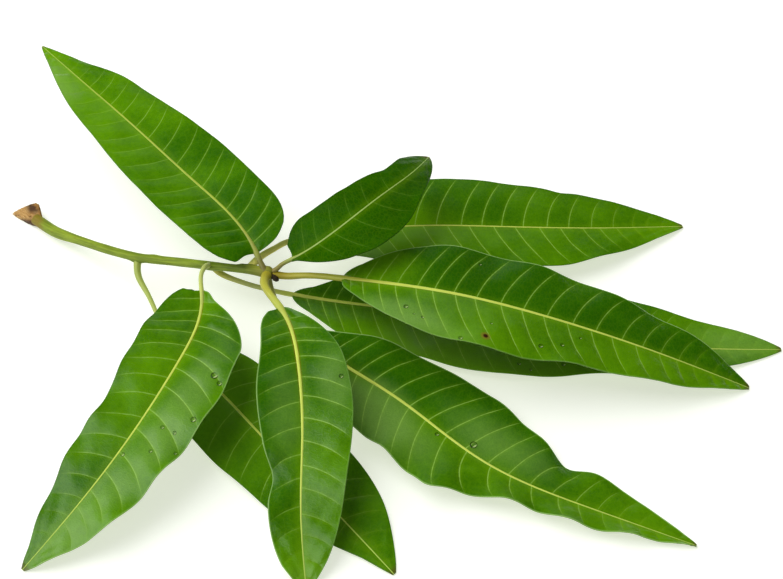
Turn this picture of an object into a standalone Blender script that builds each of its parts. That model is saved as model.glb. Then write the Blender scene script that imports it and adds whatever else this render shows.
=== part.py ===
"""A cut sprig of mango lying on a table: a twig with a torn heel, its end bud and nine leaves on their stalks.

Lengths are in millimetres and turned to metres as each mesh is made.  +X runs along the sprig from the heel to the
longest leaf, +Z is up, and the origin is the middle of the sprig's footprint on the table.
"""
import bpy
import bmesh
import numpy as np

MM = 0.001

# Middle of the footprint, in the coordinates that the routes below are written in
FOOTPRINT_MIDDLE = np.array((-4.6, -11.4, 0.0))

BLADE_THICKNESS = 0.7
GAP = 0.3

# Twig: its route from the heel to the node that carries the leaves, and its radius at each point
TWIG_ROUTE = ((-161.5, 38.5, 3.7), (-156.5, 34, 4.2), (-151.5, 29.7, 5.2), (-146, 25.9, 6.6), (-140, 22, 8.3),
              (-125, 12.2, 12.8), (-110, 4.5, 16.3), (-92, -1.6, 20.3), (-75, -6.7, 23.4), (-60, -10.5, 25.3),
              (-55.5, -11.8, 25.8), (-52, -12.8, 26))
TWIG_RADIUS = (2.6, 2.55, 2.5, 2.25, 1.95, 1.8, 1.95, 1.9, 1.7, 1.7, 2.1, 2.4)
TWIG_RINGS = 28
NODE = TWIG_ROUTE[-1]
NODE_RADIUS = 3.2

# Corners of the torn heel, with the four that it rests on at the table's height
HEEL_FOOT = ((-170, 42, 0), (-166, 38.5, 0), (-160.5, 39.5, 0), (-163, 45, 0))
HEEL_TORN = ((-175, 44.5, 0.8), (-174.5, 44.8, 1.6), (-169, 45, 4.6), (-163, 46.8, 6.8), (-160.3, 45.6, 6.6),
             (-159.5, 43.5, 3.5), (-164.5, 37.5, 3), (-159, 33.9, 3), (-157, 38, 6), (-155.5, 36.5, 3.5))

# Bud at the end of the twig
BUD_ROUTE = ((-50.6, -14.3, 24.5), (-49.5, -15.5, 23.4), (-48.4, -16.7, 22.2), (-48, -17.2, 21.8))
BUD_RADIUS = (0.8, 0.95, 0.7, 0.25)
BUD_RINGS = 8

# Fractions of a blade's length at which its half-widths are given, and the powers of the curve between them:
# a blade widens as a power of the distance from its base and narrows as one of the distance from its tip
STATIONS = np.array((0.04, 0.13, 0.28, 0.45, 0.62, 0.78, 0.91))
BASE_POWER = 0.55
TIP_POWER = 0.85

# Each leaf, in mm and degrees, left and right as seen from its base with its upper face up:
#   stalk   route of the stalk, from inside the twig to just before the blade
#   rib     five points of the midrib, from the base of the blade to its tip
#   radius  of the stalk
#   left, right   half-widths at the stations
#   lift    rise of the left and of the right half from the midrib, at the base, the middle and the tip
#   droop   how far a half turns down again over 20 mm, at the base, the middle and the tip
#   waves   of the left and of the right margin: how many, their height, and the part of a wave they start at
#   lobe    how far the margins reach back past the end of the stalk
LEAVES = {
    "leaf_back_left": dict(
        stalk=(NODE, (-54, -10.3, 29)),
        rib=((-56.5, -6, 31), (-83.5, 28, 38), (-113, 59.5, 41), (-140, 91.5, 38), (-167.5, 127, 30)),
        radius=1.3, left=(15, 22, 23, 20, 15, 10.5, 4.5), right=(15, 20.5, 21, 19, 16.5, 11, 4.5),
        lift=((16, 8, 4), (20, 12, 6)), droop=(8, 10, 10), waves=((4, 0.6, 0), (4, 0.6, 0.5)), lobe=6),
    "leaf_small_back": dict(
        stalk=(NODE, (-50.5, -12, 29), (-46, -12, 31.5)),
        rib=((-42, -11.5, 34), (-23.5, -4, 44), (-5.5, 8, 50), (7, 22.5, 48), (16.5, 45.5, 36)),
        radius=1, left=(11, 15, 13, 11.5, 10, 8.5, 5), right=(7, 13.5, 19, 18, 14, 8, 4),
        lift=((10, 10, 10), (20, 6, 0)), droop=(10, 12, 10), waves=((4, 0.5, 0), (4, 0.5, 0.5)), lobe=2),
    "leaf_back_right": dict(
        stalk=((-60.5, -10.4, 25.2), (-57.5, -6.5, 26.5), (-48, 2.5, 25)),
        rib=((-37, 7, 23), (4.5, 19.5, 20), (48, 24, 15), (90.5, 29.5, 8), (133.5, 37, 0.4)),
        radius=1.2, left=(9, 19, 26, 25.5, 24, 17.5, 8), right=(9, 18, 25, 26, 23.5, 17, 8),
        lift=((12, 8, 5), (12, 8, 5)), droop=(8, 9, 8), waves=((5, 1, 0), (5, 1, 0.5)), lobe=2),
    "leaf_right_upper": dict(
        stalk=(NODE, (-46, -13.8, 26.6), (-38, -16.5, 28)),
        rib=((-20.5, -19, 31), (23, -29, 33), (66, -37, 26), (108, -46, 15), (150, -54.5, 0.2)),
        radius=1.3, left=(8, 18, 24.5, 25.5, 22, 18, 11), right=(10, 21, 27, 26, 19.5, 15, 7.5),
        lift=((14, 4, 4), (20, 12, 6)), droop=(10, 10, 8), waves=((5, 1, 0), (5, 1, 0.5)), lobe=1),
    "leaf_right_long": dict(
        stalk=((-76, -6.4, 22.8), (-74.5, -6.4, 19.8), (-67, -8, 17), (-55.5, -10.5, 14.5)),
        rib=((-43.5, -12.5, 12), (9, -18.5, 7), (61, -27, 5), (114, -33, 3), (167, -34, 0.5)),
        radius=1.15, left=(6, 15, 24, 27, 27.5, 18.5, 9), right=(7.5, 15, 24, 25.5, 19, 15, 7.5),
        lift=((10, 5, 3), (10, 8, 5)), droop=(6, 8, 6), waves=((5, 1, 0), (5, 1, 0.5)), lobe=0),
    "leaf_front_right": dict(
        stalk=(NODE, (-52, -13.2, 22.5), (-49.5, -20.5, 18.5)),
        rib=((-40, -34.5, 15), (-2, -61.5, 9), (34, -90.5, 6), (75, -112.5, 3.5), (118.5, -130, 0.65)),
        radius=1.3, left=(6, 16, 21.5, 24, 19, 15.5, 6.5), right=(7, 16, 24.5, 23, 13, 11.5, 5.5),
        lift=((18, 6, -2), (8, 14, 30)), droop=(8, 8, 4), waves=((7, 2.2, 0.95), (8, 2, 0.4)), lobe=1),
    "leaf_front": dict(
        stalk=(NODE, (-52, -17, 27.5), (-51, -23.5, 30)),
        rib=((-45, -36, 31), (-37, -65, 31), (-34.5, -94, 26), (-34.5, -122.5, 15), (-32, -149.5, 0.15)),
        radius=1.6, left=(8, 13.5, 19, 20, 18, 15, 8.5), right=(9, 13.5, 16.5, 17.5, 15, 12.5, 8),
        lift=((16, 8, 5), (18, 10, 6)), droop=(12, 13, 10), waves=((5, 1, 0), (5, 1, 0.5)), lobe=3),
    "leaf_front_left": dict(
        stalk=((-77, -6, 23.2), (-78.5, -9, 26), (-80, -14.5, 27)),
        rib=((-79.5, -21.5, 25), (-85, -56, 26), (-100, -87, 22), (-119.5, -115, 13), (-141, -140.5, 0.25)),
        radius=1, left=(10, 18, 24, 23.5, 19.5, 15, 6.5), right=(11, 18, 19.5, 17, 16.5, 11, 6),
        lift=((16, 8, 5), (16, 10, 6)), droop=(12, 13, 10), waves=((6, 1.6, 0.2), (6, 1.4, 0.6)), lobe=3),
    "leaf_low_front": dict(
        stalk=((-110.2, 4.5, 16), (-109.8, -1, 12), (-106, -8.5, 9)),
        rib=((-96, -27.5, 6), (-72, -56.5, 4), (-47.5, -85, 3), (-23, -113.5, 2.2), (1.5, -142.5, 0.55)),
        radius=1.1, left=(7, 14, 20, 22, 22, 19, 9.5), right=(7, 14, 19, 21, 18, 13, 6),
        lift=((8, 5, 3), (8, 5, 3)), droop=(6, 7, 6), waves=((5, 1, 0), (5, 1, 0.5)), lobe=1),
}
STALK_RINGS = 7
BLADE_RINGS = 30
STALK_SWELLING = 0.25
BLADE_END = 0.995
TIP_HALF_WIDTH = 0.5
RIB_END_RADIUS = 0.25
RIB_ABOVE = 0.35
RIB_BELOW = 0.8
STALK_BLEND = 0.03
ROUTE_STEPS = 400

# Sprig colours: base colour, roughness
BARK = ((0.25, 0.29, 0.06, 1), 0.6)
LEAF_GREEN = ((0.045, 0.16, 0.008, 1), 0.35)
BUD_BROWN = ((0.045, 0.028, 0.01, 1), 0.7)


def clear_scene():
    """Remove what the scene holds."""
    for thing in list(bpy.data.objects):
        bpy.data.objects.remove(thing, do_unlink=True)


def new_collection(name):
    """A collection of this name, emptied, linked to the scene."""
    old = bpy.data.collections.get(name)
    if old:
        bpy.data.collections.remove(old)
    collection = bpy.data.collections.new(name)
    bpy.context.scene.collection.children.link(collection)
    return collection


def new_material(name, look):
    """A Principled material from a base colour and a roughness."""
    colour, roughness = look
    material = bpy.data.materials.new(name)
    material.use_nodes = True
    shader = material.node_tree.nodes["Principled BSDF"]
    shader.inputs["Base Color"].default_value = colour
    shader.inputs["Roughness"].default_value = roughness
    shader.inputs["Metallic"].default_value = 0
    material.diffuse_color = colour
    return material


def smooth(knots, values, at):
    """Natural cubic spline through the values at the knots, read at other places."""
    knots = np.asarray(knots, float)
    values = np.asarray(values, float).reshape(len(knots), -1)
    gaps = np.diff(knots)
    system = np.eye(len(knots))
    bends = np.zeros_like(values)
    for i in range(1, len(knots) - 1):
        system[i, i - 1:i + 2] = gaps[i - 1], 2 * (gaps[i - 1] + gaps[i]), gaps[i]
        bends[i] = 6 * ((values[i + 1] - values[i]) / gaps[i] - (values[i] - values[i - 1]) / gaps[i - 1])
    bends = np.linalg.solve(system, bends)
    i = np.clip(np.searchsorted(knots, at, side="right") - 1, 0, len(knots) - 2)
    before = ((knots[i + 1] - at) / gaps[i])[:, None]
    after = 1 - before
    cubic = ((before**3 - before) * bends[i] + (after**3 - after) * bends[i + 1]) * gaps[i, None]**2 / 6
    return before * values[i] + after * values[i + 1] + cubic


def even_route(points):
    """A smooth route through the points in even steps, and the fraction of its length at each point."""
    points = np.asarray(points, float)
    chords = np.r_[0, np.cumsum(np.linalg.norm(np.diff(points, axis=0), axis=1))]
    fine_at = np.linspace(0, chords[-1], ROUTE_STEPS)
    fine = smooth(chords, points, fine_at)
    run = np.r_[0, np.cumsum(np.linalg.norm(np.diff(fine, axis=0), axis=1))]
    run /= run[-1]
    even = sample(fine, run, np.linspace(0, 1, ROUTE_STEPS))
    return even, np.interp(chords, fine_at, run)


def sample(rows, places, at):
    """Rows of numbers that belong to the given places, read at other places."""
    return np.stack([np.interp(at, places, column) for column in rows.T], axis=1)


def unit(vectors):
    """The vectors at length 1."""
    return vectors / np.linalg.norm(vectors, axis=-1, keepdims=True)


def base_middle_tip(values, s):
    """A quadratic through the values at the base (s = 0), the middle and the tip (s = 1)."""
    base, middle, tip = values
    return base * (1 - s) * (1 - 2 * s) + 4 * middle * s * (1 - s) + tip * s * (2 * s - 1)


def half_width(widths, s):
    """The blade curve s^BASE_POWER (1 - s)^TIP_POWER, times a smooth ratio that meets the given half-widths."""
    def curve(t):
        return t**BASE_POWER * (1 - t)**TIP_POWER
    ratio = smooth(STATIONS, np.array(widths) / curve(STATIONS), np.clip(s, STATIONS[0], STATIONS[-1]))
    return ratio[:, 0] * curve(s)


def rib_frame(leaf, s):
    """Points of the midrib at s, with the directions along it, to its left and up from it."""
    route, marks = even_route(leaf["stalk"] + leaf["rib"])
    start = marks[len(leaf["stalk"])]
    forward = unit(np.gradient(route, axis=0))
    left = unit(np.cross((0, 0, 1), forward))
    at = start + (1 - start) * s
    places = np.linspace(0, 1, ROUTE_STEPS)
    middle = sample(route, places, at)
    forward = unit(sample(forward, places, at))
    left = unit(sample(left, places, at))
    return middle, forward, left, np.cross(forward, left)


def blade_surface(leaf, s, across):
    """Middle surface of a blade, at s along it (0 to 1) and across it (1 left margin, 0 midrib, -1 right margin).

    Each half leaves the midrib at its lift angle and turns down again along an arc.  The margin rises and falls
    as a sine of s, by the square of the distance from the midrib, and near the base it reaches back by the lobe.
    """
    middle, forward, left, up = (rows[:, None] for rows in rib_frame(leaf, s))
    on_left = across >= 0
    widths = np.where(on_left, half_width(leaf["left"], s)[:, None], half_width(leaf["right"], s)[:, None])
    reach = np.abs(across) * widths
    s = s[:, None]
    lift_left, lift_right = leaf["lift"]
    lift = np.radians(np.where(on_left, base_middle_tip(lift_left, s), base_middle_tip(lift_right, s)))
    turn = np.radians(base_middle_tip(leaf["droop"], s)) / 20
    out = (np.sin(lift) - np.sin(lift - turn * reach)) / turn
    rise = (np.cos(lift - turn * reach) - np.cos(lift)) / turn
    (left_count, left_height, left_start), (right_count, right_height, right_start) = leaf["waves"]
    wave = np.where(on_left, left_height * np.sin(2 * np.pi * (left_count * s + left_start)),
                    right_height * np.sin(2 * np.pi * (right_count * s + right_start)))
    rise += wave * across**2 * (4 * s * (1 - s))**0.5
    back = leaf["lobe"] * across**2 * (1 - s)**12
    side = np.where(on_left, 1, -1)[..., None] * left
    return middle + side * out[..., None] + up * rise[..., None] - forward * back[..., None]


def stalk_rings(leaf, radius):
    """Circles of 14 points down the stalk; the last one stops where the blade starts."""
    route, marks = even_route(leaf["stalk"] + leaf["rib"])
    end = marks[len(leaf["stalk"])]
    at = np.linspace(0, end, STALK_RINGS, endpoint=False)
    places = np.linspace(0, 1, ROUTE_STEPS)
    centre = sample(route, places, at)
    forward = unit(sample(np.gradient(route, axis=0), places, at))
    blade_left = rib_frame(leaf, np.array([0.0]))[2]
    left = unit(blade_left - forward * np.sum(blade_left * forward, axis=1, keepdims=True))
    swollen = radius * (1 + STALK_SWELLING * (1 - at / end)**2)
    return circles(centre, left, np.cross(forward, left), swollen)


def circles(centre, left, up, radius):
    """Rings of 14 points: seven over the top from left to right, then seven under it from right to left."""
    angle = (np.arange(14) + 0.5) / 14 * 2 * np.pi
    outward = np.cos(angle)[None, :, None] * left[:, None] + np.sin(angle)[None, :, None] * up[:, None]
    return centre[:, None] + outward * np.asarray(radius)[:, None, None]


def blade_rings(leaf, radius):
    """Rings of 14 points along the blade: its upper face, with the raised midrib, and its lower face.

    Over the first part of the blade they turn from the stalk's circle into the blade's own section.
    """
    s = np.linspace(0, BLADE_END, BLADE_RINGS)**1.15
    rib = RIB_END_RADIUS + (0.9 * radius - RIB_END_RADIUS) * (1 - s)
    width = np.maximum(half_width(leaf["left"], s), TIP_HALF_WIDTH)
    beside = np.minimum(1.3 * rib / width, 0.4)
    ones = np.ones_like(s)
    across = np.stack([ones, 0.55 * ones, beside, 0 * ones, -beside, -0.55 * ones, -ones], axis=1)
    skin = blade_surface(leaf, np.maximum(s, 1e-4), across)
    along = np.gradient(skin, axis=0)
    sideways = np.gradient(skin, axis=1)
    normal = unit(np.cross(sideways, along))
    above = np.full(skin.shape[:2], BLADE_THICKNESS / 2)
    below = above.copy()
    above[:, 3] += RIB_ABOVE * rib
    below[:, 3] += RIB_BELOW * rib
    upper = skin + normal * above[..., None]
    lower = skin - normal * below[..., None]
    section = np.concatenate([upper, lower[:, ::-1]], axis=1)
    middle, forward, left, up = rib_frame(leaf, s)
    stalk = circles(middle, left, up, np.full(len(s), 0.9 * radius))
    share = np.clip(s / STALK_BLEND, 0, 1)
    share = (share * share * (3 - 2 * share))[:, None, None]
    return stalk * (1 - share) + section * share


def loft(name, rings):
    """A closed body through rings of 14 points, with its upper and lower faces split into triangles alike."""
    rows, columns = rings.shape[:2]
    half = columns // 2
    faces = []
    for i in range(rows - 1):
        for j in range(columns):
            a = i * columns + j
            b = i * columns + (j + 1) % columns
            c, d = b + columns, a + columns
            faces += [(a, b, c), (a, c, d)] if j < half else [(a, b, d), (b, c, d)]
    last = (rows - 1) * columns
    for j in range(half - 1):
        near, far = columns - 1 - j, columns - 2 - j
        faces += [(near, far, j), (far, j + 1, j)]
        faces += [(last + j, last + j + 1, last + near), (last + j + 1, last + far, last + near)]
    mesh = bpy.data.meshes.new(name)
    points = (rings.reshape(-1, 3) - FOOTPRINT_MIDDLE) * MM
    mesh.from_pydata(points.tolist(), [], faces)
    mesh.update()
    return bpy.data.objects.new(name, mesh)


def tube(name, route, radii, rings, more_radius=0.0):
    """A round tube along a smooth route, with its radius given at each point, made a mesh with welded caps."""
    centre, marks = even_route(route)
    at = np.linspace(0, 1, rings)
    radius = np.interp(at, marks, np.array(radii) + more_radius)
    places = np.linspace(0, 1, ROUTE_STEPS)
    points = (sample(centre, places, at) - FOOTPRINT_MIDDLE) * MM
    curve = bpy.data.curves.new(name, "CURVE")
    curve.dimensions = "3D"
    curve.bevel_depth = MM
    curve.bevel_resolution = 3
    curve.use_fill_caps = True
    spline = curve.splines.new("POLY")
    spline.points.add(rings - 1)
    for point, place, size in zip(spline.points, points, radius):
        point.co = (*place, 1)
        point.radius = size
    guide = bpy.data.objects.new(name, curve)
    bpy.context.scene.collection.objects.link(guide)
    evaluated = guide.evaluated_get(bpy.context.evaluated_depsgraph_get())
    mesh = bpy.data.meshes.new_from_object(evaluated)
    mesh.name = name
    bpy.data.objects.remove(guide, do_unlink=True)
    weld(mesh)
    return bpy.data.objects.new(name, mesh)


def weld(mesh):
    """Join points that coincide, such as those of a tube and its caps."""
    work = bmesh.new()
    work.from_mesh(mesh)
    bmesh.ops.remove_doubles(work, verts=work.verts, dist=1e-6)
    bmesh.ops.recalc_face_normals(work, faces=work.faces)
    work.to_mesh(mesh)
    work.free()


def wrap(name, corners):
    """The tightest closed body round the given corners."""
    work = bmesh.new()
    for corner in corners:
        work.verts.new((np.array(corner) - FOOTPRINT_MIDDLE) * MM)
    hull = bmesh.ops.convex_hull(work, input=work.verts)
    loose = [v for v in hull["geom_interior"] + hull["geom_unused"] if isinstance(v, bmesh.types.BMVert)]
    bmesh.ops.delete(work, geom=loose, context="VERTS")
    bmesh.ops.recalc_face_normals(work, faces=work.faces)
    mesh = bpy.data.meshes.new(name)
    work.to_mesh(mesh)
    work.free()
    return bpy.data.objects.new(name, mesh)


def ball(name, centre, radius):
    """A closed sphere."""
    work = bmesh.new()
    bmesh.ops.create_uvsphere(work, u_segments=16, v_segments=10, radius=radius * MM)
    bmesh.ops.translate(work, verts=work.verts, vec=(np.array(centre) - FOOTPRINT_MIDDLE) * MM)
    mesh = bpy.data.meshes.new(name)
    work.to_mesh(mesh)
    work.free()
    return bpy.data.objects.new(name, mesh)


def add_boolean(thing, other, operation):
    """An exact Boolean modifier between two objects."""
    cut = thing.modifiers.new(operation.lower(), "BOOLEAN")
    cut.operation = operation
    cut.object = other
    cut.solver = "EXACT"


def finish(thing, material, collection, angle=40):
    """Give an object its material and smooth shading, and put it in its collection."""
    thing.data.materials.clear()
    thing.data.materials.append(material)
    collection.objects.link(thing)
    thing.data.shade_smooth()
    thing.data.set_sharp_from_angle(angle=np.radians(angle))


def hide(thing, collection):
    """Keep a cutter or a guide out of the model."""
    collection.objects.link(thing)
    thing.hide_render = True
    thing.display_type = "WIRE"


def make_twig(sprig, cutters, bark):
    """The twig with its torn heel and its thick end joined on, and a fatter copy of it that cuts stalks clear."""
    twig = tube("twig", TWIG_ROUTE, TWIG_RADIUS, TWIG_RINGS)
    heel = wrap("heel_form", HEEL_FOOT + HEEL_TORN)
    end = ball("end_form", NODE, NODE_RADIUS)
    for form in (heel, end):
        hide(form, cutters)
        add_boolean(twig, form, "UNION")
    finish(twig, bark, sprig)
    clearing = tube("twig_clearing", TWIG_ROUTE, TWIG_RADIUS, TWIG_RINGS, more_radius=GAP)
    wide_end = ball("end_clearing", NODE, NODE_RADIUS + GAP)
    hide(clearing, cutters)
    hide(wide_end, cutters)
    add_boolean(clearing, wide_end, "UNION")
    return clearing


def make_bud(sprig, clearing, brown):
    """The dark bud at the end of the twig."""
    bud = tube("terminal_bud", BUD_ROUTE, BUD_RADIUS, BUD_RINGS)
    add_boolean(bud, clearing, "DIFFERENCE")
    finish(bud, brown, sprig)


def make_leaf(name, leaf, sprig, clearing, green):
    """One leaf: its round stalk runs on as the midrib of its blade, and it ends just clear of the twig."""
    rings = np.concatenate([stalk_rings(leaf, leaf["radius"]), blade_rings(leaf, leaf["radius"])])
    body = loft(name, rings)
    add_boolean(body, clearing, "DIFFERENCE")
    finish(body, green, sprig, angle=60)


def main():
    clear_scene()
    sprig = new_collection("mango_leaf_sprig")
    cutters = new_collection("cutters")
    clearing = make_twig(sprig, cutters, new_material("bark", BARK))
    make_bud(sprig, clearing, new_material("bud", BUD_BROWN))
    green = new_material("leaf_green", LEAF_GREEN)
    for name, leaf in LEAVES.items():
        make_leaf(name, leaf, sprig, clearing, green)


main()
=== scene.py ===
"""Looks of a cut sprig of mango, made over the CAD model in its own frame.

It has nine veined leaves on their stalks, the twig with its torn heel, the end bud and drops of water.

Routes and sizes are in millimetres, as in the CAD source, and each mesh is made in metres.
"""
from itertools import combinations

import bpy
import numpy as np
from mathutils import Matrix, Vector


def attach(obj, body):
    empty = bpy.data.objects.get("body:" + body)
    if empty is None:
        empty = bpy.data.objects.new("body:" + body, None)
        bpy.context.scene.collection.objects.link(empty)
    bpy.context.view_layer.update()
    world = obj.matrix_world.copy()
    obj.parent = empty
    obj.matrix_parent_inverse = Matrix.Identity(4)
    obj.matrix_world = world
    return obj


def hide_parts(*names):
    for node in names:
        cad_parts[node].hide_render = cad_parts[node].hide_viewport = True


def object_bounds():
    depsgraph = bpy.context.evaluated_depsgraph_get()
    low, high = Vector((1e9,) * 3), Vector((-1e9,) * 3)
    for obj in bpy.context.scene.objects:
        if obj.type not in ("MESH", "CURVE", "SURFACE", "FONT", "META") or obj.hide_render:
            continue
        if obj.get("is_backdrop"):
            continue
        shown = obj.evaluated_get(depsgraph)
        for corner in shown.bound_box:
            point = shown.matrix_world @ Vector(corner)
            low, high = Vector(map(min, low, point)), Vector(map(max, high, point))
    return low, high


MM = 0.001
BODY = "root"

# Middle of the footprint, in the coordinates that the routes below are written in
FOOTPRINT_MIDDLE = np.array((-4.6, -11.4, 0.0))

CAMERA_PLACE = (0.0046, -0.4193, 0.5132)
CAMERA_ELEVATION = 50
CAMERA_LENS = 70

# Twig: its route from the heel to the node that carries the leaves, and its radius at each point
TWIG_ROUTE = ((-161.5, 38.5, 3.7), (-156.5, 34, 4.2), (-151.5, 29.7, 5.2), (-146, 25.9, 6.6), (-140, 22, 8.3),
              (-125, 12.2, 12.8), (-110, 4.5, 16.3), (-92, -1.6, 20.3), (-75, -6.7, 23.4), (-60, -10.5, 25.3),
              (-55.5, -11.8, 25.8), (-52, -12.8, 26))
TWIG_RADIUS = (2.6, 2.55, 2.5, 2.3, 2.05, 1.95, 1.9, 1.9, 1.8, 1.85, 2.2, 2.7)
NODE = TWIG_ROUTE[-1]
TWIG_END = (-49.6, -13.5, 26.1)

# Swellings on the twig under stalks, scars and side buds: x of the middle, direction, height, half length
TWIG_CUSHIONS = ((-110.2, (0.1, -0.8, -0.6), 0.9, 2.6), (-102.5, (0, 0.5, 0.85), 0.35, 2.4),
                 (-77.5, (-0.2, -0.7, 0.6), 0.7, 2.6), (-76, (0.1, 0, -1), 0.6, 3),
                 (-60, (0.1, 0.9, 0.35), 0.9, 2.4), (-63.5, (0, 0.75, 0.65), 0.5, 1.6),
                 (-54, (-0.1, 0.3, 0.9), 0.4, 2.4))

# Corners of the torn heel
HEEL_CORNERS = ((-170, 42, 0), (-166, 38.5, 0), (-160.5, 39.5, 0), (-163, 45, 0), (-175, 44.5, 0.8),
                (-174.5, 44.8, 1.6), (-169, 45, 4.6), (-163, 46.8, 6.8), (-160.3, 45.6, 6.6),
                (-161, 43.2, 3.5), (-164.5, 37.5, 3), (-159.5, 33.9, 3), (-159, 38, 5.6), (-157.5, 36.5, 3.5))
HEEL_MIDDLE = np.array((-163.0, 40.3, 2.9))
HEEL_GRAIN = np.array((-0.76, 0.64, -0.1))
# A long splinter, from its root to its point
HEEL_POINT = ((-169, 42.6, 1), (-174, 44.5, 0.9))
# Dark corner of the torn bark, in metres
HEEL_KNOB = (-0.1568, 0.0574, 0.0062)

BUD_ROUTE = ((-50.4, -14, 26), (-49.3, -14.8, 25.5), (-48.2, -15.6, 24.9), (-47.5, -16.1, 24.5))
BUD_RADIUS = (1.1, 1.4, 1.15, 0.35)
# Middle of the painted shadow on the twig at the end bud, in metres
BUD_SHADOW_MIDDLE = (-0.0435, -0.0035, 0.0255)

# Fractions of a blade's length at which its half-widths are given, and the powers of the curve between them
STATIONS = np.array((0.04, 0.13, 0.28, 0.45, 0.62, 0.78, 0.91))
BASE_POWER = 0.55
TIP_POWER = 0.85
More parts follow.
